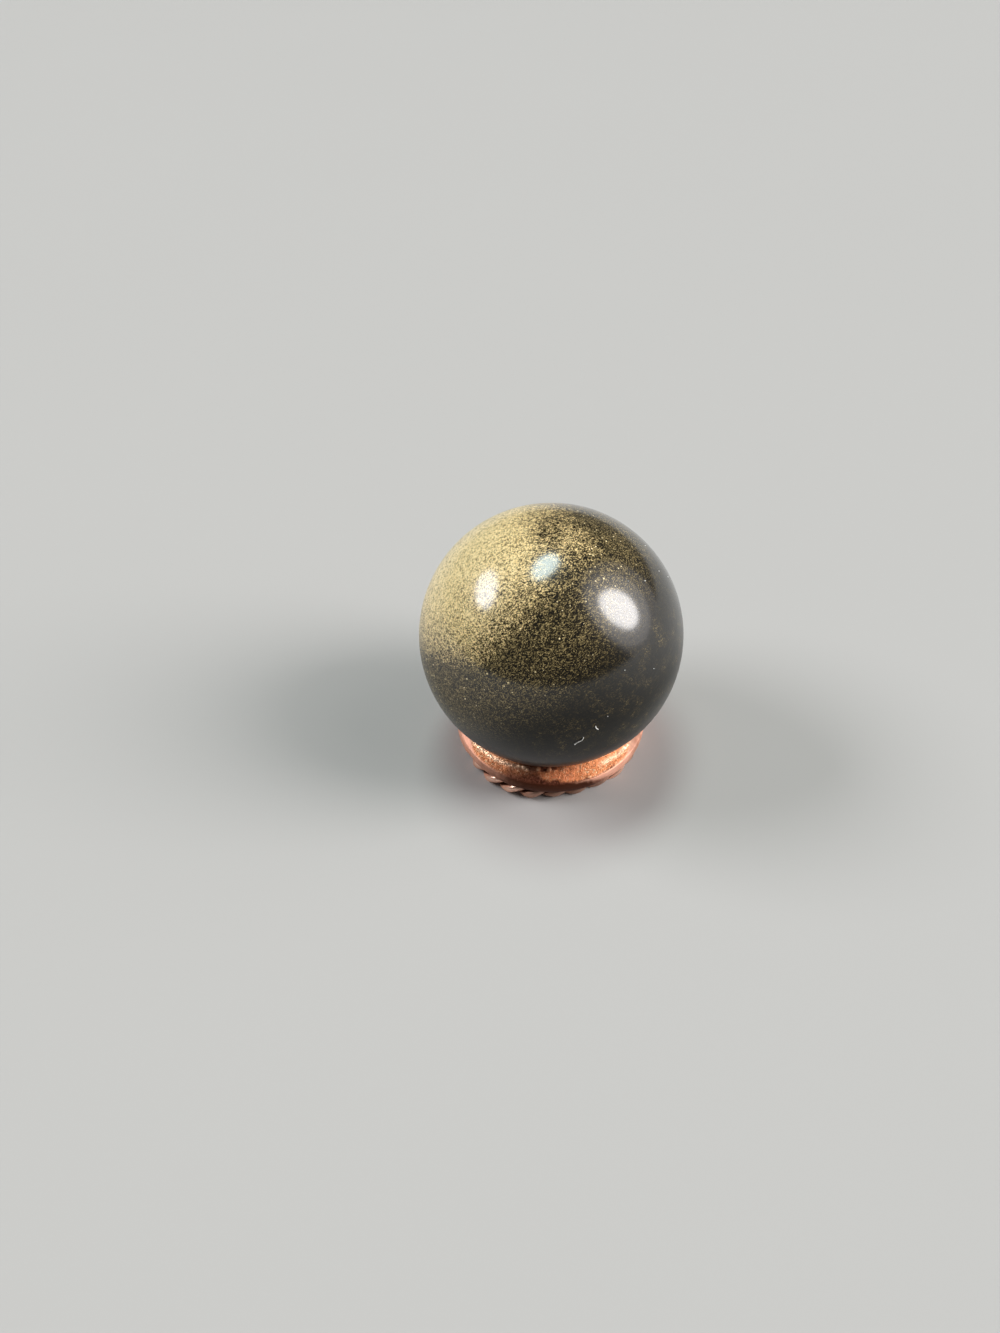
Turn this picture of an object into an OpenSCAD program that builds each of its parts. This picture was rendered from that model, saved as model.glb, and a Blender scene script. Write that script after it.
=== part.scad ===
// Polished stone sphere resting in a small copper ring stand.
// The stand is a sloping band soldered onto a foot of two wires twisted together and closed into a ring.
// The origin is the centre of the band, on the table. +Z is up, and -Y is the front.

/* [Sphere] */
// Diameter of the polished sphere
sphere_d = 16; // [12:0.5:22]

/* [Band] */
// Widest diameter of the band, at the middle of its outer wall
band_od = 12.2; // [10:0.1:15]
// Radial wall of the band, from its bore to its widest point
band_wall = 1.6; // [1.3:0.05:2.2]
// Height of the band's outer wall, from its underside to the crease under the crown
wall_h = 0.64; // [0.4:0.02:1.2]
// How far the outer wall swells beyond its two edges
wall_bulge = 0.07; // [0.02:0.01:0.12]
// Height of the crown, from the crease to the lip that the sphere sits inside
crown_h = 0.7; // [0.4:0.02:1.2]
// Radial width of the gently sloping outer face of the crown
shoulder_w = 0.5; // [0.3:0.05:0.8]
// Rise of the gently sloping outer face of the crown
shoulder_h = 0.26; // [0.1:0.02:0.36]
// Radial width of the bevelled seat under the sphere
seat_w = 0.36; // [0.2:0.02:0.5]

/* [Twisted foot] */
// Diameter of each of the two wires
strand_d = 0.53; // [0.4:0.01:0.8]
// Length of wire rope in one full twist
lay_length = 2.86; // [2.2:0.02:4]
// How far the rope's outermost circle lies inside the band's widest one
rope_inset = 0.08; // [0:0.01:0.3]
// Sideways offset of the rope under the band, as it was soldered
rope_shift_x = -0.15; // [-0.2:0.01:0.2]
// Offset of the rope under the band, front to back
rope_shift_y = -0.05; // [-0.2:0.01:0.2]
// Turn of the twist about its own centreline
twist_phase = 160; // [0:5:180]
// Depth to which each lobe is rubbed flat on the table
foot_flat = 0.05; // [0.03:0.01:0.1]
// Depth to which each lobe is bedded flat under the band
solder_flat = 0.05; // [0.03:0.01:0.1]

/* [Fits] */
// Clearance between the sphere and its seat
seat_gap = 0.01; // [0.005:0.005:0.05]
// Clearance between the two wires where they cross
strand_gap = 0.01; // [0.005:0.005:0.05]

/* [Hidden] */

sphere_r = sphere_d / 2;
band_r = band_od / 2;
bore_r = band_r - band_wall;

// The twisted foot: the orbit of each wire about the rope's centreline, its height, and the circle it follows
strand_r = strand_d / 2;
orbit_r = strand_r + strand_gap / 2;
rope_h = 2 * (orbit_r + strand_r) - foot_flat - solder_flat;
rope_z = orbit_r + strand_r - foot_flat;
rope_r = band_r - rope_inset - orbit_r - strand_r;
twists = round(2 * PI * rope_r / lay_length);

// The band: its levels from the underside up
crease_z = rope_h + wall_h;
lip_z = crease_z + crown_h;
edge_r = band_r - wall_bulge;
lip_r = bore_r + seat_w;

// The seat leans so that it touches the sphere along the middle of the bevel
lip_round = 0.06;
seat_angle = asin((bore_r + seat_w / 2) / sphere_r);
seat_top = [lip_r - lip_round * sin(seat_angle), lip_z - lip_round * (1 - cos(seat_angle))];
seat_foot_z = seat_top.y - (seat_top.x - bore_r) * tan(seat_angle);

// The sphere rests on its seat, or on the table where the bore is wide enough to let it through
seated_z = seat_top.y - seat_top.x * tan(seat_angle) + (sphere_r + seat_gap) / cos(seat_angle);
sphere_z = max(seated_z, sphere_r);

// Smoothness of the band's outer wall and of the wires
wall_steps = 8;
lip_steps = 4;
rope_sides = 10;
rings_per_twist = 14;
rope_rings = twists * rings_per_twist;

$fn = 96;

// Points along an arc from angle a to angle b
function arc(centre, r, a, b, steps) = [
    for (i = [0:steps])
        let (t = a + (b - a) * i / steps)
        centre + r * [cos(t), sin(t)]
];

// The swelling outer wall of the band, from the underside up to the crease
function wall_points() =
    let (
        half = wall_h / 2,
        r = (half * half + wall_bulge * wall_bulge) / (2 * wall_bulge),
        spread = asin(half / r)
    )
    arc([band_r - r, rope_h + half], r, -spread, spread, wall_steps);

// The rounded lip between the crown and the seat
function lip_points() =
    let (crown_angle = atan((crown_h - shoulder_h) / (edge_r - shoulder_w - lip_r)))
    arc([lip_r, lip_z - lip_round], lip_round, 90 - crown_angle, 90 + seat_angle, lip_steps);

// Centre of one wire at angle t around the ring, where the wire starts at the given phase
function strand_centre(t, phase) =
    let (
        a = twists * t + phase,
        r = rope_r + orbit_r * cos(a)
    )
    [r * cos(t), r * sin(t), orbit_r * sin(a)];

// The circle of points around the wire at angle t, square to the wire and flattened at both bearing planes
function strand_ring(t, phase) =
    let (
        c = strand_centre(t, phase),
        ahead = strand_centre(t + 0.1, phase) - strand_centre(t - 0.1, phase),
        along = ahead / norm(ahead),
        out = c - rope_r * [cos(t), sin(t), 0],
        square_out = out - (out * along) * along,
        u = square_out / norm(square_out),
        v = cross(along, u)
    )
    [
        for (k = [0:rope_sides - 1])
            let (
                s = 360 * (k + 0.5) / rope_sides,
                p = c + strand_r * (cos(s) * u + sin(s) * v)
            )
            [p.x + rope_shift_x, p.y + rope_shift_y, min(max(p.z + rope_z, 0), rope_h)]
    ];

module strand(phase) {
    points = [
        for (i = [0:rope_rings - 1])
            each strand_ring(360 * i / rope_rings, phase)
    ];
    faces = [
        for (i = [0:rope_rings - 1], k = [0:rope_sides - 1])
            let (
                here = i * rope_sides,
                next = (i + 1) % rope_rings * rope_sides,
                turn = (k + 1) % rope_sides
            )
            each [
                [here + k, next + turn, here + turn],
                [here + k, next + k, next + turn]
            ]
    ];
    polyhedron(points, faces);
}

module stone_sphere() {
    color("#2a2718")
        translate([0, 0, sphere_z])
            sphere(sphere_r);
}

module ring_band() {
    color("#c5764f")
        rotate_extrude()
            polygon(concat(
                [[bore_r, rope_h]],
                wall_points(),
                [[edge_r - shoulder_w, crease_z + shoulder_h]],
                lip_points(),
                [[bore_r, seat_foot_z]]
            ));
}

module rope_strand_1() {
    color("#d08660")
        strand(twist_phase);
}

module rope_strand_2() {
    color("#d08660")
        strand(twist_phase + 180);
}

stone_sphere();
ring_band();
rope_strand_1();
rope_strand_2();
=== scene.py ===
"""A polished gold-sheen stone sphere, resting in a small copper ring stand with a twisted wire foot."""

import math

import bpy
import numpy as np
from mathutils import Matrix, Vector, noise


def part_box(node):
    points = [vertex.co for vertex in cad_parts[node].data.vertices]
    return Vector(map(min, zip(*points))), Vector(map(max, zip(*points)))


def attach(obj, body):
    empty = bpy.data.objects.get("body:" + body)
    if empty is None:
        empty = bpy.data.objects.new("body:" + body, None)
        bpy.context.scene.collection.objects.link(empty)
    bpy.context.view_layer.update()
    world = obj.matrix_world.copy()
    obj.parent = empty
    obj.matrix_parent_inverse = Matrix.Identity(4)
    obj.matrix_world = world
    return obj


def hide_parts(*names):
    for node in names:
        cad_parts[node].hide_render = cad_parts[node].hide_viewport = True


bl_info = {
    "name": "Gold-Sheen Stone Sphere",
    "version": (1, 0, 0),
    "blender": (4, 5, 0),
    "location": "3D View > Sidebar > Sphere",
    "description": "Builds a polished stone sphere, its copper ring stand and a pale studio",
    "category": "Add Mesh",
}

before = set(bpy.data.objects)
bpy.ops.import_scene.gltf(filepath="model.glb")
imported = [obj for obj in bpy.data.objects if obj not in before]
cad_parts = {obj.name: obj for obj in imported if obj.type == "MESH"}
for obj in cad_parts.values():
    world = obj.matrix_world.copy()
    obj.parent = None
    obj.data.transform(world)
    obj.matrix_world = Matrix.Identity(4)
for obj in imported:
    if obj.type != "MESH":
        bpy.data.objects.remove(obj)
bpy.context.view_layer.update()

MM = 0.001
TURN = 2 * math.pi
UP = (0.0, 0.0, 1.0)


# ---------------------------------------------------------------- sizes from the frame


def frame_box(*nodes):
    """Lowest and highest corner of some CAD nodes together."""
    lows, highs = zip(*(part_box(name) for name in nodes))
    low = Vector(min(corner[i] for corner in lows) for i in range(3))
    high = Vector(max(corner[i] for corner in highs) for i in range(3))
    return low, high


BALL_LOW, BALL_HIGH = frame_box("stone_sphere")
BAND_LOW, BAND_HIGH = frame_box("ring_band")
ROPE_LOW, ROPE_HIGH = frame_box("rope_strand_1", "rope_strand_2")

BALL_CENTRE = (BALL_LOW + BALL_HIGH) / 2
BALL_RADIUS = (BALL_HIGH.z - BALL_LOW.z) / 2
BAND_RADIUS = (BAND_HIGH.x - BAND_LOW.x) / 2


# ---------------------------------------------------------------- settings


def size_setting(name, description, millimetres):
    """A length that a user can change, with its default in millimetres."""
    return bpy.props.FloatProperty(
        name=name, description=description, default=millimetres * MM, unit="LENGTH", precision=6
    )


def angle_setting(name, description, degrees):
    """An angle that a user can change, with its default in degrees."""
    return bpy.props.FloatProperty(
        name=name, description=description, default=math.radians(degrees), subtype="ANGLE"
    )


def direction_setting(name, description, default):
    """A direction that a user can change."""
    return bpy.props.FloatVectorProperty(
        name=name, description=description, default=default, subtype="DIRECTION"
    )


def colour_setting(name, description, default):
    """A colour that a user can change, in linear light."""
    return bpy.props.FloatVectorProperty(
        name=name, description=description, default=default, subtype="COLOR", size=3, min=0, max=1
    )


def number_setting(name, description, default, **more):
    """A plain number that a user can change."""
    return bpy.props.FloatProperty(name=name, description=description, default=default, **more)


def share_setting(name, description, default):
    """A share from 0 to 1 that a user can change."""
    return number_setting(name, description, default, min=0, max=1, subtype="FACTOR")


class StoneSettings(bpy.types.PropertyGroup):
    """The polished sphere and what shows in it."""

    squares: bpy.props.IntProperty(
        name="Squares", description="Mesh squares along each of the six faces of the ball", default=100
    )
    waviness: size_setting("Waviness", "How far hand polishing strays from a true ball", 0.004)
    body: colour_setting("Body", "The near-black glass", (0.004, 0.0035, 0.0025))
    sheen_deep: colour_setting("Deep sheen", "The faintest flecks", (0.085, 0.062, 0.024))
    sheen_bronze: colour_setting("Bronze sheen", "Flecks of middling brightness", (0.37, 0.28, 0.125))
    sheen_pale: colour_setting("Pale sheen", "Bright flecks", (1.0, 0.745, 0.35))
    sheen_bright: colour_setting("Bright sheen", "The brightest flecks", (1.0, 0.82, 0.45))
    spark: colour_setting("Spark", "The few sparks among the flecks", (1.0, 0.82, 0.47))
    # The golden cap's sheen is painted into the colour, fixed to the ball; it faces up and to the left,
    # towards the left lamp.
    sheen_axis: direction_setting(
        "Sheen axis", "The way that the middle of the golden cap faces", (-0.60, 0.15, 0.79)
    )
    flow: direction_setting(
        "Flow", "The way that the flecks and the polishing lines run", (0.80, 0.50, 0.34)
    )
    fleck: size_setting("Fleck", "Width of one golden fleck", 0.040)
    polish: share_setting("Polish", "Roughness of the polished surface", 0.15)
    haze: share_setting("Haze", "Roughness of the faint haze round highlights", 0.36)


class BandSettings(bpy.types.PropertyGroup):
    """The sloping copper band that the sphere sits in."""

    wall: size_setting("Wall", "From the bore to the widest point", 1.6)
    side_height: size_setting("Side height", "From the underside to the crease under the crown", 0.64)
    bulge: size_setting("Bulge", "How far the outer wall swells beyond its edges", 0.07)
    left_bulge: size_setting("Left bulge", "How much more the wall swells at its left end", 0.10)
    shoulder_width: size_setting("Shoulder width", "Width of the gently sloping outer face of the crown", 0.5)
    shoulder_height: size_setting("Shoulder height", "Rise of the gently sloping outer face", 0.26)
    seat_width: size_setting("Seat width", "Width of the bevel that the sphere sits on", 0.36)
    lip_round: size_setting("Lip round", "Radius of the lip between the crown and the seat", 0.06)
    groove: size_setting("Groove", "Depth of the groove along the crown's edge at the front right", 0.016)
    wave: size_setting("Wave", "How far the outer wall strays from an even curve", 0.006)
    grain: size_setting("Grain", "Width of the crown's grains", 0.17)
    grain_depth: size_setting("Grain depth", "Height of the crown's grains", 0.022)
    crown: colour_setting("Crown", "Grainy copper of the crown", (0.92, 0.34, 0.14))
    grain_dark: colour_setting("Dark grains", "The darkest grains of the crown", (0.50, 0.15, 0.055))
    grain_bright: colour_setting("Bright grains", "The brightest grains of the crown", (1.0, 0.64, 0.38))
    side: colour_setting("Side", "Burnished copper of the outer wall", (0.96, 0.51, 0.365))
    patina: colour_setting("Patina", "Faint patches on the outer wall", (0.86, 0.35, 0.22))
    streak: colour_setting("Streak", "Burnish streaks on the outer wall", (0.60, 0.24, 0.15))
    # Painted highlight: paler copper where the lamps' highlights fall on the crown, which is also smoother
    # there.
    rubbed: colour_setting("Rubbed highlight", "Copper rubbed bright along the crown", (0.96, 0.66, 0.45))
    flush: colour_setting("Flush", "Copper of the crown reddened beside the stain", (1.0, 0.30, 0.13))
    # Painted shade: the brown of the crown's grains where the front lies in shade.
    stain: colour_setting("Painted shade", "Brown oxide on the grains of the stained front", (0.22, 0.065, 0.035))
    # Painted shade in the low places and at the front, with some dark oxide.
    shade_and_tarnish: colour_setting("Shade and tarnish", "Dark oxide in the low places", (0.06, 0.014, 0.005))


class FootSettings(bpy.types.PropertyGroup):
    """The two wires that are twisted together and closed into the ring's foot."""

    twists: bpy.props.IntProperty(
        name="Twists", description="Full turns of the twist round the ring", default=12
    )
    phase: angle_setting("Phase", "Where the twist starts", 160.0)
    flat: size_setting("Flat", "Depth to which each lobe is rubbed flat, above and below", 0.05)
    gap: size_setting("Gap", "Clearance between the two wires", 0.01)
    inset: size_setting("Inset", "How far the rope lies inside the band's widest circle", 0.08)
    shift_x: size_setting("Shift X", "Sideways offset of the rope under the band", -0.15)
    shift_y: size_setting("Shift Y", "Offset of the rope under the band, front to back", -0.05)
    tuck: size_setting("Tuck", "How far the rope is pressed in under the band at the left", 0.17)
    front_tuck: number_setting("Front tuck", "How many times as far it is pressed in at the front", 1.25)
    wire: colour_setting("Wire", "Bright drawn copper", (1.0, 0.54, 0.38))
    # Painted highlight: paler copper on the outside of the twist.
    crest_highlight: colour_setting("Crest highlight", "Copper rubbed bright on the outside of the twist", (1.0, 0.62, 0.47))


class StudioSettings(bpy.types.PropertyGroup):
    """The pale floor, the lamps and the camera."""

    floor: colour_setting("Floor", "The plain pale floor", (0.478, 0.466, 0.456))
    surround: number_setting("Surround", "Brightness of the room", 0.06, min=0)
    lamp_distance: size_setting("Lamp distance", "From the ring to every lamp", 8000)
    eye: bpy.props.FloatVectorProperty(
        name="Eye", description="Where the camera is",
        default=(-3.18 * MM, -44.53 * MM, 50.46 * MM), unit="LENGTH",
    )
    pitch: angle_setting("Pitch", "How far the camera looks down", 44.78)
    roll: angle_setting("Roll", "How far the camera leans to its left", 3.31)
    lens: number_setting("Lens", "Focal length on a 36 mm long side", 27.0, unit="CAMERA")


# ---------------------------------------------------------------- meshes


def make_mesh(name, points, faces, material, smooth=True, **shares):
    """A mesh object; shares are per-point numbers that its material reads, by name."""
    mesh = bpy.data.meshes.new(name)
    faces = faces.tolist() if isinstance(faces, np.ndarray) else faces
    mesh.from_pydata(np.asarray(points).tolist(), [], faces)
    mesh.validate()
    for label, values in shares.items():
        attribute = mesh.attributes.new(label, "FLOAT", "POINT")
        attribute.data.foreach_set("value", np.asarray(values, np.float32).ravel())
    mesh.polygons.foreach_set("use_smooth", [smooth] * len(mesh.polygons))
    mesh.materials.append(material)
    piece = bpy.data.objects.new(name, mesh)
    bpy.context.scene.collection.objects.link(piece)
    return piece


def grid_faces(rows, columns, close_rows=True, close_columns=True):
    """Faces of a grid of points numbered row by row, closed round either way."""
    r = np.arange(rows if close_rows else rows - 1)
    c = np.arange(columns if close_columns else columns - 1)
    r, c = (a.ravel() for a in np.meshgrid(r, c, indexing="ij"))
    up, on = (r + 1) % rows, (c + 1) % columns
    return np.stack([r * columns + c, up * columns + c, up * columns + on, r * columns + on], 1)


# How far one more seed moves the noise along x, y and z
SEED_STEPS = (17.3, 5.7, 11.1)


def roughen(points, width, octaves=3, seed=0):
    """Smooth random numbers from about -1 to 1 at some points, with features about as wide as width."""
    offset = Vector([seed * step for step in SEED_STEPS])
    weaker, finer = 1.0, 2.0
    return np.array([
        noise.fractal(Vector(p) / width + offset, weaker, finer, octaves, noise_basis="PERLIN_ORIGINAL")
        for p in points
    ])


def unit(vectors):
    """The same vectors, each with a length of 1."""
    return vectors / np.linalg.norm(vectors, axis=-1, keepdims=True)


def smooth_step(low, high, values):
    """0 below low and 1 above high, with a smooth climb between."""
    t = np.clip((values - low) / (high - low), 0, 1)
    return t * t * (3 - 2 * t)


def settle(piece, node_name):
    """Puts a finished piece on the object's one body in place of a CAD node, if any, which it hides."""
    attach(piece, "root")
    if node_name:
        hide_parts(node_name)


# ---------------------------------------------------------------- shader helpers


def add(tree, kind, inputs=None, **settings):
    """A shader node. inputs gives each socket, by name or number, a value or the output that feeds it."""
    made = tree.nodes.new(kind)
    for name, value in settings.items():
        setattr(made, name, value)
    for key, value in (inputs or {}).items():
        if isinstance(value, bpy.types.NodeSocket):
            tree.links.new(value, made.inputs[key])
        else:
            made.inputs[key].default_value = value
    return made


def maths(tree, operation, *values):
    """The output of a Math node."""
    return add(tree, "ShaderNodeMath", dict(enumerate(values)), operation=operation).outputs[0]


def product(tree, a, b):
    """Two numbers multiplied."""
    return maths(tree, "MULTIPLY", a, b)


def vectors(tree, operation, *values):
    """The output of a Vector Math node that gives a vector."""
    return add(tree, "ShaderNodeVectorMath", dict(enumerate(values)), operation=operation).outputs["Vector"]


def scaled(tree, vector, factor):
    """A vector times a number."""
    inputs = {0: vector, "Scale": factor}
    return add(tree, "ShaderNodeVectorMath", inputs, operation="SCALE").outputs["Vector"]


def dot(tree, a, b):
    """The dot product of two vectors."""
    return add(tree, "ShaderNodeVectorMath", {0: a, 1: b}, operation="DOT_PRODUCT").outputs["Value"]


def climb(tree, value, low, high, bottom=0.0, top=1.0):
    """A smooth step: bottom where value is under low, and top where it is over high."""
    inputs = {"Value": value, "From Min": low, "From Max": high, "To Min": bottom, "To Max": top}
    return add(tree, "ShaderNodeMapRange", inputs, interpolation_type="SMOOTHSTEP").outputs["Result"]


def mixed(tree, share, a, b):
    """Colour a where share is 0, and colour b where it is 1."""
    node = add(tree, "ShaderNodeMix", {"Factor": share}, data_type="RGBA")
    for socket, value in (("A", a), ("B", b)):
        slot = next(s for s in node.inputs if s.name == socket and s.type == "RGBA")
        if isinstance(value, bpy.types.NodeSocket):
            tree.links.new(value, slot)
        else:
            slot.default_value = (*value, 1)
    return next(s for s in node.outputs if s.type == "RGBA")


def ramp(tree, value, stops):
    """A colour that runs through some stops, each a position and a colour."""
    made = add(tree, "ShaderNodeValToRGB", {"Fac": value})
    elements = made.color_ramp.elements
    while len(elements) < len(stops):
        elements.new(1.0)
    for element, (position, colour) in zip(elements, stops):
        element.position = position
        element.color = (*colour, 1)
    return made.outputs["Color"]


def point_share(tree, name):
    """A number that the mesh carries at each point."""
    return add(tree, "ShaderNodeAttribute", attribute_name=name).outputs["Fac"]


def noise_at(tree, vector, scale, detail=2.0, roughness=0.5, output="Fac"):
    """A smooth noise from 0 to 1, or three of them as a vector where output is Color."""
    inputs = {"Vector": vector, "Scale": scale, "Detail": detail, "Roughness": roughness}
    return add(tree, "ShaderNodeTexNoise", inputs).outputs[output]


def start_group(name, inputs, outputs):
    """A shader group with those input defaults and output names, and its two ends."""
    group = bpy.data.node_groups.new(name, "ShaderNodeTree")
    for label, default in inputs.items():
        kind = "NodeSocketVector" if default is None else "NodeSocketFloat"
        socket = group.interface.new_socket(name=label, in_out="INPUT", socket_type=kind)
        if default is not None:
            socket.default_value = default
    for label in outputs:
        group.interface.new_socket(name=label, in_out="OUTPUT", socket_type="NodeSocketFloat")
    entry = group.nodes.new("NodeGroupInput").outputs
    leave = group.nodes.new("NodeGroupOutput").inputs
    return group, entry, leave


def stretched(tree, vector, direction, across, along):
    """Coordinates that run at the rate across, but at the rate along in one direction."""
    lengthwise = dot(tree, vector, direction)
    shift = maths(tree, "MULTIPLY", lengthwise, maths(tree, "SUBTRACT", along, across))
    return vectors(tree, "ADD", scaled(tree, vector, across), scaled(tree, direction, shift))


def grain_group():
    """Packed grains, stretched along a direction, with a random share each and 1 at the middle of each."""
    inputs = {"Vector": None, "Direction": None, "Size": 0.15, "Stretch": 1.0}
    group, entry, leave = start_group("Grain", inputs, ["Random", "Middle"])
    rate = maths(group, "DIVIDE", 1.0, entry["Size"])
    slow = maths(group, "DIVIDE", rate, entry["Stretch"])
    place = stretched(group, entry["Vector"], entry["Direction"], rate, slow)
    wobble = noise_at(group, place, scale=0.8, detail=1.0, output="Color")
    bent = vectors(group, "ADD", place, wobble)
    cells = add(group, "ShaderNodeTexVoronoi", {"Vector": bent, "Scale": 1.0, "Randomness": 1.0})
    split = add(group, "ShaderNodeSeparateColor", {"Color": cells.outputs["Color"]})
    middle = climb(group, cells.outputs["Distance"], low=0.0, high=0.75, bottom=1.0, top=0.0)
    group.links.new(split.outputs["Red"], leave["Random"])
    group.links.new(middle, leave["Middle"])
    return group


def lines_group():
    """Fine parallel lines along a direction, as polishing or drawing leaves them."""
    inputs = {"Vector": None, "Direction": None, "Spacing": 0.1, "Length": 3.0}
    group, entry, leave = start_group("Fine lines", inputs, ["Height"])
    across = maths(group, "DIVIDE", 1.0, entry["Spacing"])
    along = maths(group, "DIVIDE", 1.0, entry["Length"])
    place = stretched(group, entry["Vector"], entry["Direction"], across, along)
    group.links.new(noise_at(group, place, 1.0, detail=1.0), leave["Height"])
    return group


def specks_group():
    """Sparse round specks, such as dust."""
    inputs = {"Vector": None, "Spacing": 1.0, "Radius": 0.05, "Share": 0.3}
    group, entry, leave = start_group("Specks", inputs, ["Mask"])
    scale = maths(group, "DIVIDE", 1.0, entry["Spacing"])
    cells = add(group, "ShaderNodeTexVoronoi", {"Vector": entry["Vector"], "Scale": scale})
    split = add(group, "ShaderNodeSeparateColor", {"Color": cells.outputs["Color"]})
    radius = maths(group, "MULTIPLY", entry["Radius"], scale)
    size = maths(group, "MULTIPLY", radius, split.outputs["Green"])
    inside = maths(group, "LESS_THAN", cells.outputs["Distance"], size)
    chosen = maths(group, "LESS_THAN", split.outputs["Red"], entry["Share"])
    group.links.new(maths(group, "MULTIPLY", inside, chosen), leave["Mask"])
    return group


# What low places (painted shade) and patches (oxide) count for in the darkening, where it starts for an
# amount of 0, and how softly
SHADE_IN_LOW = 0.75
TARNISH_IN_PATCHES = 0.5
DARKENING_START = 1.1
DARKENING_SOFT = 0.35


def shade_and_tarnish_group():
    """Darkening: painted shade in low places, and patches of dark oxide that come and go over the surface."""
    inputs = {"Vector": None, "Relief": 0.5, "Patch size": 2.0, "Amount": 0.5}
    group, entry, leave = start_group("Shade and tarnish", inputs, ["Mask"])
    patches = noise_at(group, entry["Vector"], maths(group, "DIVIDE", 1.0, entry["Patch size"]), detail=3.0)
    patches = product(group, patches, TARNISH_IN_PATCHES)
    low = product(group, maths(group, "SUBTRACT", 1.0, entry["Relief"]), SHADE_IN_LOW)
    spread = maths(group, "ADD", low, patches)
    edge = maths(group, "SUBTRACT", DARKENING_START, entry["Amount"])
    mask = climb(group, spread, edge, maths(group, "ADD", edge, DARKENING_SOFT))
    group.links.new(mask, leave["Mask"])
    return group


SHARED_MAKERS = {
    "Grain": grain_group,
    "Fine lines": lines_group,
    "Specks": specks_group,
    "Shade and tarnish": shade_and_tarnish_group,
}
SHARED = {}


def shared(tree, label, **inputs):
    """Places a shared shader group in a material; each group is built once."""
    if label not in SHARED:
        SHARED[label] = SHARED_MAKERS[label]()
    named = {key.replace("_", " ").capitalize(): value for key, value in inputs.items()}
    return add(tree, "ShaderNodeGroup", named, node_tree=SHARED[label]).outputs


def start_material(name):
    """An empty material, its tree, its Principled shader, and positions in millimetres."""
    material = bpy.data.materials.new(name)
    material.use_nodes = True
    tree = material.node_tree
    shader = tree.nodes["Principled BSDF"]
    place_of = add(tree, "ShaderNodeTexCoord").outputs["Object"]
    return material, tree, shader, scaled(tree, place_of, 1 / MM)


def feed(tree, shader, **inputs):
    """Sets or joins the Principled shader's sockets."""
    for key, value in inputs.items():
        socket = shader.inputs[key.replace("_", " ")]
        if isinstance(value, bpy.types.NodeSocket):
            tree.links.new(value, socket)
        elif isinstance(value, tuple):
            socket.default_value = (*value, 1)
        else:
            socket.default_value = value


def bump(tree, height, distance):
    """A bumped normal; distance is the height in metres that 1 stands for."""
    inputs = {"Height": height, "Distance": distance, "Strength": 1.0}
    return add(tree, "ShaderNodeBump", inputs).outputs["Normal"]


# ---------------------------------------------------------------- materials


# Places where the sheen is stronger or weaker: the way they face, how far they reach, and the change. The
# flecks are the stone's own; their sheen is painted into the colour, brightest towards the left lamp.
SHEEN_PATCHES = {
    "dark_vein": ((-0.06, 0.05, 1.00), 0.20, -0.27),
    "dark_notch": ((-0.02, -0.09, 1.00), 0.10, -0.16),
    # Painted: the sheen is darker under where the top and the left lamps' highlights fall, so that those
    # highlights show clean.
    "dark_under_top_highlight": ((-0.04, -0.32, 0.95), 0.13, -0.36),
    "dark_under_left_highlight": ((-0.47, -0.38, 0.80), 0.12, -0.22),
    "dark_top": ((0.30, 0.30, 0.90), 0.45, -0.24),
    "dark_right": ((0.34, -0.52, 0.78), 0.30, -0.03),
    "bronze_patch": ((0.29, -0.12, 0.95), 0.20, 0.15),
    # Painted sheen: brighter where the ball faces the left lamp.
    "sheen_toward_left_lamp": ((-0.72, 0.14, 0.68), 0.36, 0.30),
    "dark_middle": ((-0.06, -0.55, 0.83), 0.20, -0.08),
    "pale_low": ((-0.60, -0.58, 0.55), 0.20, 0.15),
    "pale_middle": ((-0.33, -0.55, 0.77), 0.15, 0.06),
    "dark_hollow": ((-0.25, -0.72, 0.64), 0.40, -0.06),
    "dark_edge": ((-0.56, -0.82, 0.10), 0.35, -0.14),
    "dark_low": ((-0.85, -0.52, -0.05), 0.45, -0.20),
}

# A patch fades from its middle to nothing over this many times its reach
PATCH_FADE = 1.6

# How fast the sheen's edges wander over the ball, per mm, and how far
DRIFT_RATE = 0.45
DRIFT_REACH = 0.14

# Smooth climbs, here and below, are given as where they start and end, and the value before and after.
# The sheen towards the middle of the golden cap, the faint sheen left round it, and its blotches
CAP_SHEEN = (0.34, 1.17, 0.045, 1.14)
FAINT_SHEEN = (-0.2, 0.4, 0.02, 0.17)
BLOTCHES = (0.2, 0.8, -0.07, 0.07)

# The pattern of the flecks from none to full, and its clumps
FLECKS = (0.12, 0.88, 0.0, 1.0)
CLUMPS = (0.3, 0.7, 0.0, 0.13)

# By the sheen's strength: how few flecks are bright, and how bright the dullest and the brightest are
FLECK_CONTRAST = (0.1, 0.8, 3.4, 1.0)
DULLEST_FLECK = (0.1, 0.55, 0.18, 0.20)
BRIGHTEST_FLECK = (0.1, 0.90, 3.7, 2.0)

# What the flecks and the finer dots count for, and how wide a dot is beside a fleck
FLECK_SHARE = 0.6
DOT_SHARE = 0.27
DOT_WIDTH = 0.6

# The dimmest flecks' colour beside the deep one, and how far up the sheen's colours a shine of 1 lies
DIM_SHARE = 0.25
RAMP_SHARE = 0.66

# Where the sparks start at the cap's edge, and where they stop towards its middle
SPARKS_FROM = (0.05, 0.4, 0.0, 1.0)
SPARKS_TO = (0.90, 0.6, 0.0, 1.0)

# The polish: full high up and weak below, weaker still at the lower front, and weaker where gold shows
GLOSS_BY_HEIGHT = (0.0, 0.5, 0.32, 1.0)
LOW_FRONT = (0.08, -0.975, -0.2)
GLOSS_AT_LOW_FRONT = (0.7, 1.0, 1.0, 0.45)
GLOSS_BY_SHEEN = (0.2, 0.9, 1.0, 0.49)

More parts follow.
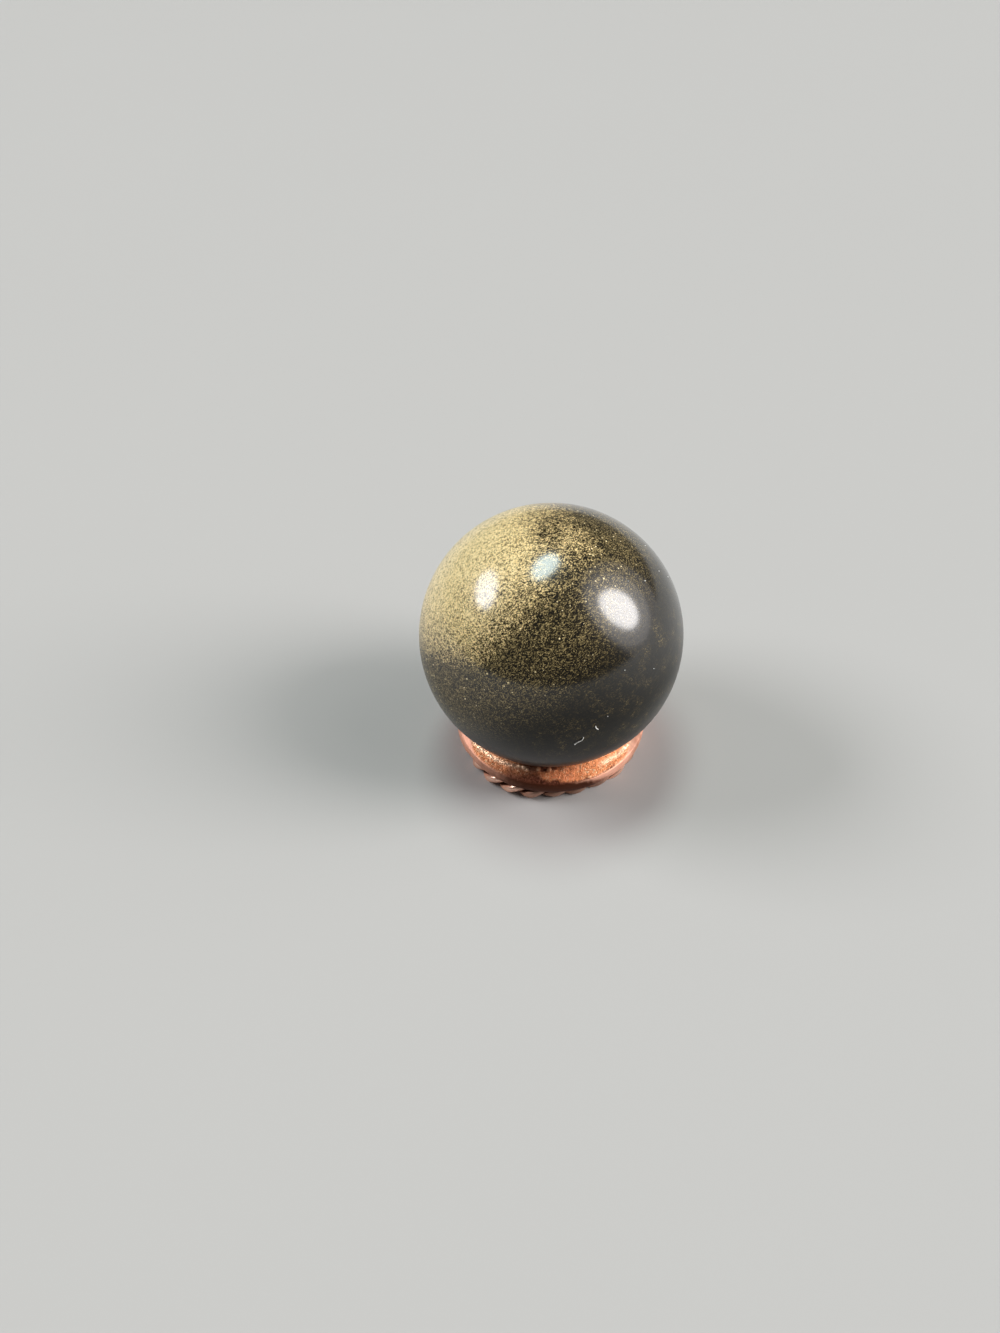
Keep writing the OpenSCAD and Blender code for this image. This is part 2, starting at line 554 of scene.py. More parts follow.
# Where the polishing lines are scored deeper: the way that place faces, and their depth towards its middle
SCORED_WAY = (0.48, -0.57, 0.66)
SCORED_DEPTH = (0.75, 0.95, 1.0, 4.5)

# How high a polishing line is raised, and a dot's share of that
POLISH_BUMP = 0.003 * MM
DOT_BUMP_SHARE = 0.05


def sheen_strength(tree, centred, facing, axis):
    """How strong the painted sheen is, and how nearly a place faces the way of the golden cap."""
    drift = noise_at(tree, centred, scale=DRIFT_RATE, detail=3.0, output="Color")
    drift = scaled(tree, vectors(tree, "SUBTRACT", drift, (0.5, 0.5, 0.5)), DRIFT_REACH)
    warped = vectors(tree, "ADD", facing, drift)
    cap = dot(tree, warped, axis)
    strength = climb(tree, cap, *CAP_SHEEN)
    for toward, reach, change in SHEEN_PATCHES.values():
        away = vectors(tree, "SUBTRACT", warped, tuple(Vector(toward).normalized()))
        gap = add(tree, "ShaderNodeVectorMath", {0: away}, operation="LENGTH").outputs["Value"]
        strength = maths(tree, "ADD", strength, climb(tree, gap, 0.0, reach * PATCH_FADE, change, 0.0))
    mottle = noise_at(tree, centred, scale=1.3, detail=3.0, roughness=0.6)
    strength = maths(tree, "ADD", strength, climb(tree, mottle, *BLOTCHES))
    return maths(tree, "MAXIMUM", strength, climb(tree, cap, *FAINT_SHEEN)), cap


def golden_flecks(tree, stone, centred, flow, strength):
    """How brightly each place shines with its flecks as painted sheen, and the finer dots among them."""
    width = stone.fleck / MM
    flecks = shared(tree, "Grain", vector=centred, direction=flow, size=width, stretch=1.8)["Random"]
    fine = width * DOT_WIDTH
    dots = shared(tree, "Grain", vector=centred, direction=flow, size=fine, stretch=1.4)["Random"]
    clumps = climb(tree, noise_at(tree, centred, scale=4.5, detail=1.0), *CLUMPS)
    pattern = maths(tree, "ADD", product(tree, flecks, FLECK_SHARE), product(tree, dots, DOT_SHARE))
    pattern = climb(tree, maths(tree, "ADD", pattern, clumps), *FLECKS)
    pattern = maths(tree, "POWER", pattern, climb(tree, strength, *FLECK_CONTRAST))
    dullest = climb(tree, strength, *DULLEST_FLECK)
    brightest = climb(tree, strength, *BRIGHTEST_FLECK)
    spread = maths(tree, "SUBTRACT", brightest, dullest)
    gain = maths(tree, "ADD", dullest, product(tree, pattern, spread))
    return product(tree, strength, gain), dots


def stone_gloss(tree, facing, strength):
    """How much the polish mirrors."""
    upper = climb(tree, dot(tree, facing, UP), *GLOSS_BY_HEIGHT)
    low_front = climb(tree, dot(tree, facing, LOW_FRONT), *GLOSS_AT_LOW_FRONT)
    golden = climb(tree, strength, *GLOSS_BY_SHEEN)
    return product(tree, product(tree, upper, low_front), golden)


def stone_material(stone):
    """Near-black glass with a cap of golden flecks, dense at its middle and sparse towards its edge; their
    sheen is painted into the colour.
    """
    material, tree, shader, position = start_material("polished_stone")
    centred = vectors(tree, "SUBTRACT", position, tuple(BALL_CENTRE / MM))
    facing = vectors(tree, "NORMALIZE", centred)
    axis = tuple(Vector(stone.sheen_axis).normalized())
    flow = tuple(Vector(stone.flow).normalized())

    strength, cap = sheen_strength(tree, centred, facing, axis)
    shine, dots = golden_flecks(tree, stone, centred, flow, strength)
    dim = tuple(DIM_SHARE * c for c in stone.sheen_deep)
    stops = (
        (0.0, stone.body), (0.08, dim), (0.165, stone.sheen_deep), (0.36, stone.sheen_bronze),
        (0.62, stone.sheen_pale), (1.0, stone.sheen_bright),
    )
    colour = ramp(tree, product(tree, shine, RAMP_SHARE), stops)
    sparks = shared(tree, "Specks", vector=centred, spacing=0.22, radius=0.055, share=0.4)["Mask"]
    where = product(tree, climb(tree, cap, *SPARKS_FROM), climb(tree, cap, *SPARKS_TO))
    colour = mixed(tree, product(tree, sparks, where), colour, stone.spark)

    lines = shared(tree, "Fine lines", vector=centred, direction=flow, spacing=0.13, length=2.5)["Height"]
    scored = climb(tree, dot(tree, facing, SCORED_WAY), *SCORED_DEPTH)
    height = maths(tree, "ADD", product(tree, lines, scored), product(tree, dots, DOT_BUMP_SHARE))
    feed(
        tree, shader, Base_Color=colour, IOR=1.5, Specular_IOR_Level=0.13, Roughness=stone.haze,
        Coat_Weight=stone_gloss(tree, facing, strength), Coat_Roughness=stone.polish, Coat_IOR=1.7,
        Normal=bump(tree, height, POLISH_BUMP),
    )
    return material


# Tint of what copper mirrors at a glancing angle
COPPER_GLINT = (1.0, 0.60, 0.45)

# Faint patches and burnish streaks on the band's outer wall
PATINA = (0.42, 0.72, 0.0, 0.5)
STREAKS = (0.35, 0.65, 0.0, 0.30)

# How far the crown reddens, and how dark the painted shade and oxide of the low places get
FLUSH_SHARE = 0.5
DARKENING_SHARE = 0.85

# The band's finish from dull to smoothed, the wires' from bright to dark, and where the painted highlight on
# the wires' crests starts
BAND_METAL = (0.0, 1.0, 0.33, 0.72)
BAND_ROUGHNESS = (0.0, 1.0, 0.50, 0.33)
WIRE_METAL = (0.0, 1.0, 0.68, 0.4)
WIRE_ROUGHNESS = (0.0, 1.0, 0.28, 0.5)
WIRE_CREST_HIGHLIGHT = (0.75, 1.0, 0.0, 1.0)

# Width of the coloured grains beside the raised ones, how high their bump is, and the streaks' share of it
GRAIN_COLOUR_WIDTH = 0.5
GRAIN_BUMP = 0.018 * MM
STREAK_BUMP_SHARE = 0.35

# How high the wires' drawing lines are, and how dark their painted shade at the front is beside the band's
DRAWN_BUMP = 0.004 * MM
WIRE_SHADE_SHARE = 0.62


def band_material(band):
    """Bare copper: a grainy crown over a burnished wall and reddened copper, with painted shade at the front
    and in the low places, patches of dark oxide, and painted highlights on the crown.
    """
    material, tree, shader, position = start_material("copper_band")
    names = ("relief", "crown", "stain", "rubbed", "flush")
    relief, crown, stain, rubbed, flush = (point_share(tree, name) for name in names)
    width = band.grain / MM * GRAIN_COLOUR_WIDTH
    grain = shared(tree, "Grain", vector=position, direction=UP, size=width, stretch=1.0)
    lines = shared(tree, "Fine lines", vector=position, direction=UP, spacing=1.1, length=0.11)["Height"]

    shades = ((0.0, band.grain_dark), (0.35, band.crown), (0.7, band.crown), (0.95, band.grain_bright))
    grainy = ramp(tree, grain["Random"], shades)
    grainy = mixed(tree, product(tree, flush, FLUSH_SHARE), grainy, band.flush)
    patches = climb(tree, noise_at(tree, position, scale=1.3, detail=3.0), *PATINA)
    burnished = mixed(tree, patches, band.side, band.patina)
    burnished = mixed(tree, climb(tree, lines, *STREAKS), burnished, band.streak)
    colour = mixed(tree, crown, burnished, grainy)
    # Painted highlight: paler copper where the lamps' highlights fall on the crown and the beads.
    colour = mixed(tree, rubbed, colour, band.rubbed)
    # Painted shade in the grains' low places and the groove, with patches of oxide.
    shade_and_tarnish = shared(tree, "Shade and tarnish", vector=position, relief=relief, patch_size=1.6, amount=0.36)["Mask"]
    # Painted shade at the front joins that of the low places; it is brown on the crown's grains.
    dark = maths(tree, "MAXIMUM", stain, product(tree, shade_and_tarnish, DARKENING_SHARE))
    stained = mixed(tree, product(tree, crown, grain["Random"]), band.shade_and_tarnish, band.stain)
    colour = mixed(tree, dark, colour, stained)

    raised = product(tree, grain["Middle"], crown)
    height = maths(tree, "ADD", raised, product(tree, lines, STREAK_BUMP_SHARE))
    shiny = product(tree, rubbed, maths(tree, "SUBTRACT", 1.0, dark))
    feed(
        tree, shader, Base_Color=colour, Metallic=climb(tree, shiny, *BAND_METAL),
        Roughness=climb(tree, shiny, *BAND_ROUGHNESS), Normal=bump(tree, height, GRAIN_BUMP),
        Specular_Tint=COPPER_GLINT,
    )
    return material


def wire_material(foot, band):
    """Bright drawn copper wire, with painted shade in the creases of the twist and a painted highlight on its
    outer crests.
    """
    material, tree, shader, position = start_material("copper_wire")
    relief, stain = (point_share(tree, name) for name in ("relief", "stain"))
    # Painted shade in the creases of the twist, with patches of oxide.
    shade_and_tarnish = shared(tree, "Shade and tarnish", vector=position, relief=relief, patch_size=1.2, amount=0.62)["Mask"]
    # Painted shade at the front joins that of the creases.
    dark = maths(tree, "MAXIMUM", shade_and_tarnish, product(tree, stain, WIRE_SHADE_SHARE))
    # Painted highlight: paler copper on the outer crests of the twist.
    bright = mixed(tree, climb(tree, relief, *WIRE_CREST_HIGHLIGHT), foot.wire, foot.crest_highlight)
    colour = mixed(tree, dark, bright, band.shade_and_tarnish)
    lines = shared(tree, "Fine lines", vector=position, direction=UP, spacing=0.2, length=0.2)["Height"]
    feed(
        tree, shader, Base_Color=colour, Metallic=climb(tree, dark, *WIRE_METAL),
        Roughness=climb(tree, dark, *WIRE_ROUGHNESS), Normal=bump(tree, lines, DRAWN_BUMP),
        Specular_Tint=COPPER_GLINT,
    )
    return material


# The darkest and the palest shade of a fibre
LINT_SHADES = ((0.70, 0.69, 0.66), (0.95, 0.94, 0.91))


def lint_material():
    """Pale textile fibre."""
    material, tree, shader, position = start_material("lint")
    colour = mixed(tree, noise_at(tree, position, scale=4.0), *LINT_SHADES)
    feed(tree, shader, Base_Color=colour, Roughness=0.9)
    return material


# ---------------------------------------------------------------- pieces


# Digits to which two points have to agree to be joined, on a ball of radius 1
WELD_DIGITS = 7


def ball_points(squares):
    """Points and faces of a ball made of six curved squares, even in size."""
    side = np.tan(np.linspace(-math.pi / 4, math.pi / 4, squares + 1))
    a, b = (g.ravel() for g in np.meshgrid(side, side, indexing="ij"))
    one = np.ones_like(a)
    sheets = [(a, b, one), (b, a, -one), (one, a, b), (-one, b, a), (b, one, a), (a, -one, b)]
    points = np.concatenate([np.stack(sheet, 1) for sheet in sheets])
    faces = np.concatenate([
        grid_faces(squares + 1, squares + 1, False, False) + k * len(a) for k in range(len(sheets))
    ])
    points, back = np.unique(np.round(unit(points), WELD_DIGITS), axis=0, return_inverse=True)
    return unit(points), back.ravel()[faces]


# Width of the waves that polishing left, as a share of the ball's radius
WAVE_WIDTH = 0.45


def build_stone(stone):
    """The polished ball."""
    directions, faces = ball_points(stone.squares)
    wave = roughen(directions, WAVE_WIDTH, octaves=2, seed=1)
    radius = BALL_RADIUS - stone.waviness * (0.5 + 0.5 * wave)
    points = np.array(BALL_CENTRE) + directions * radius[:, None]
    ball = make_mesh("polished_sphere", points, faces, stone_material(stone))
    settle(ball, "stone_sphere")


def tube(path, radius, sides):
    """Points and faces of a thin round thread along an open path, closed at both ends."""
    path = np.asarray(path)
    ahead = unit(np.gradient(path, axis=0))
    first = unit(np.cross(ahead, np.array([0.3, 0.2, 1.0])))
    second = np.cross(ahead, first)
    turn = np.arange(sides) * TURN / sides
    ring = np.cos(turn)[None, :, None] * first[:, None] + np.sin(turn)[None, :, None] * second[:, None]
    points = (path[:, None] + ring * np.asarray(radius).reshape(-1, 1, 1)).reshape(-1, 3)
    faces = grid_faces(len(path), sides, close_rows=False)[:, ::-1].tolist()
    last = len(points) - sides
    faces += [list(range(sides))[::-1], list(range(last, last + sides))]
    return points, faces


def on_ball(azimuth, elevation, lift):
    """A point over the ball's surface, at angles in degrees."""
    a, e = math.radians(azimuth), math.radians(elevation)
    out = Vector((math.cos(a) * math.cos(e), math.sin(a) * math.cos(e), math.sin(e)))
    return BALL_CENTRE + out * (BALL_RADIUS + lift)


# The path of each fibre over the ball, as azimuth and elevation in degrees
LINT = {
    "lint_fibre_1": ((-84.7, -7.5), (-83.2, -6.2), (-81.9, -5.6), (-81.3, -4.6), (-81.1, -3.6)),
    "lint_fibre_2": ((-76.3, 1.5), (-75.8, 0.2), (-75.1, -0.6)),
}
LINT_RADIUS = 0.028 * MM

# How far a fibre's middle stands off the ball, how much thicker its first end is, and how fast it thins
LINT_LIFT = 1.2
LINT_KNOT = 0.9
LINT_TAPER = 3
LINT_SIDES = 8
LINT_STEPS = 8


def build_lint(material):
    """Short fibres that cling to the lower front of the ball."""
    for name, stops in LINT.items():
        steps = np.linspace(0, len(stops) - 1, LINT_STEPS * len(stops))
        azimuth, elevation = (np.interp(steps, range(len(stops)), [s[k] for s in stops]) for k in (0, 1))
        path = [on_ball(a, e, LINT_RADIUS * LINT_LIFT) for a, e in zip(azimuth, elevation)]
        thickness = LINT_RADIUS * (1 + LINT_KNOT * np.exp(-steps * LINT_TAPER))
        points, faces = tube(path, thickness, LINT_SIDES)
        piece = make_mesh(name, points, faces, material)
        settle(piece, None)


# Dust on the ball: azimuth and elevation in degrees, and size in mm
DUST = (
    (-23.0, 46.0, 0.045), (-5.0, 39.0, 0.035), (0.0, 31.0, 0.04), (-46.0, 16.0, 0.03),
    (-61.0, 23.0, 0.03), (-34.0, 52.0, 0.025), (12.0, 44.0, 0.03), (-71.0, 5.0, 0.03),
)
DUST_SQUARES = 5


def build_dust(material):
    """Specks of dust on the right and the front of the ball."""
    shape, faces = ball_points(DUST_SQUARES)
    points = [np.array(on_ball(a, e, 0)) + shape * size * MM for a, e, size in DUST]
    faces = np.concatenate([faces + k * len(shape) for k in range(len(DUST))])
    piece = make_mesh("dust", np.concatenate(points), faces, material)
    settle(piece, None)


def arc(centre, radius, start, end, steps):
    """Points along an arc, with angles in radians."""
    angles = np.linspace(start, end, steps + 1)
    return [(centre[0] + radius * math.cos(t), centre[1] + radius * math.sin(t)) for t in angles]


WALL_STEPS = 8
LIP_STEPS = 4


def band_section(band):
    """The band's closed outline as radius and height, and the heights of its crease and its seat's foot."""
    bore = BAND_RADIUS - band.wall
    under, lip = BAND_LOW.z, BAND_HIGH.z
    crease = under + band.side_height
    edge = BAND_RADIUS - band.bulge
    half = band.side_height / 2
    swell = (half ** 2 + band.bulge ** 2) / (2 * band.bulge)
    spread = math.asin(half / swell)
    lip_radius = bore + band.seat_width
    lean = math.asin((bore + band.seat_width / 2) / BALL_RADIUS)
    slope = math.atan2(lip - crease - band.shoulder_height, edge - band.shoulder_width - lip_radius)
    seat_top = (lip_radius - band.lip_round * math.sin(lean), lip - band.lip_round * (1 - math.cos(lean)))
    seat_foot = (bore, seat_top[1] - (seat_top[0] - bore) * math.tan(lean))
    side = arc((BAND_RADIUS - swell, under + half), swell, -spread, spread, WALL_STEPS)
    shoulder = (edge - band.shoulder_width, crease + band.shoulder_height)
    lip_middle = (lip_radius, lip - band.lip_round)
    top = arc(lip_middle, band.lip_round, math.pi / 2 - slope, math.pi / 2 + lean, LIP_STEPS)
    return np.array([(bore, under), *side, shoulder, *top, seat_foot]), crease, seat_foot[1]


def resample(outline, count):
    """The same closed outline with evenly spaced points."""
    closed = np.vstack([outline, outline[:1]])
    along = np.concatenate([[0], np.cumsum(np.linalg.norm(np.diff(closed, axis=0), axis=1))])
    stops = np.arange(count) * along[-1] / count
    return np.stack([np.interp(stops, along, closed[:, k]) for k in (0, 1)], 1)


# Bearings go round the ring in degrees: 0 is the right, -90 the front, and 180 and -180 are both the left


def bearing_of(x, y):
    """The bearing of each place round the ring."""
    return np.degrees(np.arctan2(y, x))


def between(values, start, full, fading, end):
    """0 up to start, 1 from full to fading, and 0 past end, with smooth climbs."""
    return smooth_step(start, full, values) * (1 - smooth_step(fading, end, values))


def left_end(bearing, front, front_full, back, back_full):
    """1 at the left end of the ring, fading out towards its front and its back."""
    return smooth_step(front, front_full, bearing) + smooth_step(back, back_full, bearing)


# The edge of a span of bearings: how far it wanders and how softly it ends, in degrees, and the width of its
# waves
EDGE_WANDER = 7
EDGE_SOFT = 7
EDGE_WAVE = 0.5 * MM


def heat_stain(points, left, right, seed, soft=EDGE_SOFT):
    """1 between two bearings, and 0 past them, with uneven edges; soft is for the left one."""
    bearing = bearing_of(points[:, 0], points[:, 1]) + EDGE_WANDER * roughen(points, EDGE_WAVE, seed=seed)
    return between(bearing, left - soft, left + soft, right - EDGE_SOFT, right + EDGE_SOFT)


BAND_TURNS = 960
BAND_POINTS = 100

# Where the crown's grains reach its edge, where the groove runs, and where the wall swells at the left
GRAINY_FRONT = (-164, -148, -44, -26)
GROOVE = (-93, -52)
LEFT_BULGE = (-150, -168, 150, 172)

# Shares of coarse and of fine grains on the crown, and how wide a fine one is beside a coarse one
COARSE_SHARE = 0.7
FINE_SHARE = 0.5
FINE_WIDTH = 0.4

# How high a place counts for the painted shade and oxide of low places: on the level, what the grains add,
# and what the groove takes off
RELIEF_LEVEL = 0.55
RELIEF_GRAINS = 0.9
RELIEF_GROOVE = 0.6

# The grains of the crown start this far under its edge and are full this far over it
EDGE_UNDER = 0.02 * MM
EDGE_WIDTH = 0.09 * MM

# Height of the groove's middle over the crown's edge, and its width
GROOVE_HEIGHT = 0.5 * EDGE_WIDTH
GROOVE_WIDTH = 0.4 * EDGE_WIDTH

# Away from the front the shoulder is smooth, up to this far under its top
GRAINY_SHOULDER = 0.04 * MM

# Beads of solder and nicks on the crown: bearing, then distance from the axis, width and height in mm
BEADS = (
    (-117.0, 5.22, 0.13, 0.06), (-113.5, 5.22, 0.12, 0.07), (-110.5, 5.33, 0.11, 0.05),
    (-116.5, 5.50, 0.10, 0.04), (-103.0, 5.17, 0.16, 0.05), (-95.5, 5.16, 0.13, 0.07),
    (-86.0, 5.17, 0.12, 0.05), (-92.0, 5.25, 0.07, 0.04), (-45.5, 5.53, 0.06, -0.06),
    (-121.0, 5.30, 0.08, 0.03), (64.0, 5.20, 0.12, 0.05), (70.0, 5.30, 0.09, 0.04),
)

# Heights of a bead at which its painted highlight starts to show, and shows fully
BEAD_HIGHLIGHT = (0.012 * MM, 0.04 * MM)

# Painted highlights where the lamps' highlights fall on the crown, which is smoother there: its two ends as
# bearings, and their distances from the axis in mm
RUBBED_HIGHLIGHTS = ((-158.0, -127.0, 5.60, 5.36), (-127.0, -108.0, 5.36, 5.24), (-58.0, -34.0, 5.50, 5.68))
HIGHLIGHT_WIDTH = 0.11 * MM

# How bright the painted highlight leaves the copper, how much that varies and over what width, and how bright
# a bead's painted highlight is
HIGHLIGHT_SHINE = 0.8
HIGHLIGHT_VARIES = 0.4
HIGHLIGHT_WAVE = 0.35 * MM
BEAD_SHINE = 0.25

# Width of the waves in the outer wall
WALL_WAVE = 0.9 * MM

# The painted shade's two edges at the front, as bearings, at shares of the band's height below its lip
SHADE_LEFT = ((0.25, 0.5), (-119, -134))
SHADE_RIGHT = ((0.14, 0.22, 0.36, 0.5, 0.76), (-86, -102, -100, -76, -62))
SHADE_LEFT_SOFT = 22

# Where the faint second painted shade lies, how dark it is on the band, and where the crown is reddened
SECOND_SHADE = (-38, -22)
SECOND_SHARE = 0.4
FLUSH = (-102, -76)


def bead_heights(points, slope):
    """How high the beads and nicks stand at each point; slope is the outline of the crown."""
    heights = np.zeros(len(points))
    for bearing, reach, width, rise in BEADS:
        turn = math.radians(bearing)
        level = np.interp(reach * MM, slope[:, 0], slope[:, 1])
        middle = np.array([reach * MM * math.cos(turn), reach * MM * math.sin(turn), level])
        gap = np.linalg.norm(points - middle, axis=1) / (width * MM)
        heights += rise * MM * np.exp(-gap ** 2)
    return heights


def rubbed_share(bearing, radius):
    """How much painted highlight, on smoother metal, the crown has at each point; each stretch fades over a
    few degrees.
    """
    share = np.zeros(len(bearing))
    for first, last, near, far in RUBBED_HIGHLIGHTS:
        middle = np.interp(bearing, (first, last), (near, far)) * MM
        along = between(bearing, first - 6, first + 2, last - 2, last + 8)
        share = np.maximum(share, along * np.exp(-((radius - middle) / HIGHLIGHT_WIDTH) ** 2))
    return share


def stain_share(points, height, crown, bead_highlight):
    """How brown the painted shade at the front is at each point."""
    fall = (BAND_HIGH.z - height) / (BAND_HIGH.z - BAND_LOW.z)
    left = np.interp(fall, *SHADE_LEFT)
    right = np.interp(fall, *SHADE_RIGHT)
    # Painted shade at the front under the sphere, and a fainter one at the front right.
    first = heat_stain(points, left, right, seed=7, soft=SHADE_LEFT_SOFT) * (1 - bead_highlight)
    second = SECOND_SHARE * heat_stain(points, *SECOND_SHADE, seed=10) * (1 - crown)
    return np.maximum(first, second)


def build_band(band):
    """The band, turned round from its section, with real grains, beads and an edge groove on its crown."""
    outline, crease, seat_foot = band_section(band)
    section = resample(outline, BAND_POINTS)
    ahead = np.roll(section, -1, 0) - np.roll(section, 1, 0)
    out = unit(np.stack([ahead[:, 1], -ahead[:, 0]], 1))

    angle = np.arange(BAND_TURNS) * TURN / BAND_TURNS
    spoke = np.repeat(np.stack([np.cos(angle), np.sin(angle)], 1), BAND_POINTS, 0)
    radius, height = np.tile(section, (BAND_TURNS, 1)).T
    outward, upward = np.tile(out, (BAND_TURNS, 1)).T
    points = np.column_stack([spoke * radius[:, None], height])
    normal = np.column_stack([spoke * outward[:, None], upward])

    bearing = bearing_of(points[:, 0], points[:, 1])
    grainy_front = between(bearing, *GRAINY_FRONT)
    start = crease + (1 - grainy_front) * (band.shoulder_height - GRAINY_SHOULDER)
    crown = smooth_step(start - EDGE_UNDER, start + EDGE_WIDTH, height)
    inside = outward < -0.2
    grains = COARSE_SHARE * roughen(points, band.grain, seed=2)
    grains = grains + FINE_SHARE * roughen(points, band.grain * FINE_WIDTH, seed=3)
    beads = bead_heights(points, section[section[:, 1] > crease][::-1])
    groove = np.exp(-((height - crease - GROOVE_HEIGHT) / GROOVE_WIDTH) ** 2) * ~inside
    groove = groove * heat_stain(points, *GROOVE, seed=6)
    push = band.grain_depth * grains * crown + beads * crown - band.groove * groove
    on_seat = inside & (height > seat_foot - EDGE_UNDER)
    push = np.where(on_seat, np.minimum(push, 0) * 0.5, push)
    wave = band.wave * roughen(points, WALL_WAVE, octaves=2, seed=5) * (1 - crown)
    push = push + band.left_bulge * left_end(bearing, *LEFT_BULGE) * np.clip(1 - crown, 0, 1) * ~inside
    points = points + normal * (push + wave)[:, None]

    # Painted highlights on the crown and the beads, where the metal is also smoother.
    highlight_strength = HIGHLIGHT_SHINE + HIGHLIGHT_VARIES * roughen(points, HIGHLIGHT_WAVE, seed=8)
    bead_highlight = smooth_step(*BEAD_HIGHLIGHT, beads)
    rubbed = rubbed_share(bearing, radius) * highlight_strength + BEAD_SHINE * bead_highlight
    relief = RELIEF_LEVEL + RELIEF_GRAINS * grains * crown - RELIEF_GROOVE * groove
    shares = {
        "relief": np.clip(relief, 0, 1),
        "crown": crown,
        "stain": stain_share(points, height, crown, bead_highlight),
        "flush": heat_stain(points, *FLUSH, seed=12) * crown,
        "rubbed": np.clip(rubbed, 0, 1) * ~inside,
    }
    faces = grid_faces(BAND_TURNS, BAND_POINTS)
    piece = make_mesh("copper_band", points, faces, band_material(band), **shares)
    settle(piece, "ring_band")


WIRE_SIDES = 28
WIRE_RINGS_PER_TWIST = 44

# Where the rope is tucked in at the left and at the front
LEFT_TUCK = (-132, -158, 140, 170)
FRONT_TUCK = (-108, -92, -64, -50)

# The brown painted shade on the wires at the front, and how dark the second one is there
WIRE_SHADE = (-112, -57)
WIRE_SECOND_SHARE = 0.7

# How far out on the twist a place starts to count as high, and counts in full; high places get a painted
# highlight, low ones painted shade
TWIST_REACH = (0.35, 0.95)


def build_wire(name, node_name, phase, foot, material):
    """One of the two wires: a thread that winds round the foot's centreline."""
    rope_height = ROPE_HIGH.z - ROPE_LOW.z
    radius = (rope_height + 2 * foot.flat - foot.gap) / 4
    orbit = radius + foot.gap / 2
    ring_radius = BAND_RADIUS - foot.inset - orbit - radius
    middle = orbit + radius - foot.flat
    rings = foot.twists * WIRE_RINGS_PER_TWIST
    turn = np.arange(rings) * TURN / rings

    def core_radius(t):
        """Radius of the rope's centreline, which is pressed in at the left and at the front."""
        bearing = bearing_of(np.cos(t), np.sin(t))
        front = between(bearing, *FRONT_TUCK)
        return ring_radius - foot.tuck * (left_end(bearing, *LEFT_TUCK) + foot.front_tuck * front)

    def centre(t):
        """The wire's own centreline, which winds round the rope's."""
        wind = foot.twists * t + phase
        r = core_radius(t) + orbit * np.cos(wind)
        return np.stack([r * np.cos(t), r * np.sin(t), orbit * np.sin(wind)], 1)

    line = centre(turn)
    step = 0.001
    ahead = unit(centre(turn + step) - centre(turn - step))
    core = core_radius(turn)[:, None] * np.stack([np.cos(turn), np.sin(turn), 0 * turn], 1)
    away = line - core
    away = unit(away - (away * ahead).sum(1, keepdims=True) * ahead)
    across = np.cross(ahead, away)
    side = (np.arange(WIRE_SIDES) * TURN / WIRE_SIDES)[None, :, None]
    ring = np.cos(side) * away[:, None] + np.sin(side) * across[:, None]
    points = (line[:, None] + ring * radius).reshape(-1, 3)
    reach = np.linalg.norm(points - np.repeat(core, WIRE_SIDES, 0), axis=1) / (orbit + radius)
    points = points + np.array([foot.shift_x, foot.shift_y, middle])
    points[:, 2] = np.clip(points[:, 2], 0, rope_height)

    relief = smooth_step(*TWIST_REACH, reach)
    # Painted shade on the wires at the front, and a fainter one at the front right.
    first = heat_stain(points, *WIRE_SHADE, seed=9)
    stain = np.maximum(first, WIRE_SECOND_SHARE * heat_stain(points, *SECOND_SHADE, seed=11))
    faces = grid_faces(len(turn), WIRE_SIDES)[:, ::-1]
    piece = make_mesh(name, points, faces, material, relief=relief, stain=stain)
    settle(piece, node_name)


# ---------------------------------------------------------------- studio

# Each lamp: the way to it, the way its long side runs, its length and width in degrees, radiance and colour
LAMPS = {
    "left_lamp": ((-0.75, 0.18, 0.64), (-0.12, -0.47, -0.02), 31, 19, 12.3, (0.98, 0.98, 1.0)),
    "top_lamp": ((-0.05, 0.22, 0.97), (-0.28, -0.35, 0.06), 27, 16, 11.0, (0.86, 1.0, 0.96)),
    "right_lamp": ((0.83, -0.16, 0.53), (0.35, 0.09, -0.59), 37, 26, 10.0, (1.0, 0.97, 0.96)),
    "right_glow": ((0.84, -0.14, 0.52), (0.35, 0.09, -0.59), 62, 50, 0.9, (1.0, 0.97, 0.96)),
    "right_haze": ((0.88, -0.05, 0.46), (0.35, 0.09, -0.59), 78, 62, 0.6, (1.0, 0.97, 0.96)),
}


def build_lamp(name, distance, toward, along, length, width, radiance, colour):
    """An oval soft lamp that faces the object and spans the given angles.

    A flat lamp gives out pi watts for each square metre and each unit of radiance.
    """
    light = bpy.data.lights.new(name, "AREA")
    light.shape = "ELLIPSE"
    light.size = 2 * distance * math.tan(math.radians(length) / 2)
    light.size_y = 2 * distance * math.tan(math.radians(width) / 2)
    area = light.size * light.size_y * math.pi / 4
    light.energy = radiance * area * math.pi
    light.color = colour
    lamp = bpy.data.objects.new(name, light)
    back = Vector(toward).normalized()
    side = (Vector(along) - Vector(along).dot(back) * back).normalized()
    axes = Matrix((side, back.cross(side), back)).transposed()
    lamp.matrix_world = Matrix.Translation(back * distance) @ axes.to_4x4()
    lamp.visible_camera = False
    bpy.context.scene.collection.objects.link(lamp)


def floor_material(studio):
    """Plain pale matte board, in a shade that hardly changes."""
    material, tree, shader, position = start_material("floor")
    darker = tuple(0.985 * c for c in studio.floor)
    colour = mixed(tree, noise_at(tree, position, scale=0.02), darker, studio.floor)
    feed(tree, shader, Base_Color=colour, Roughness=0.8, Specular_IOR_Level=0.1)
    return material


ROOM_COLOUR = (0.96, 0.98, 1.0)


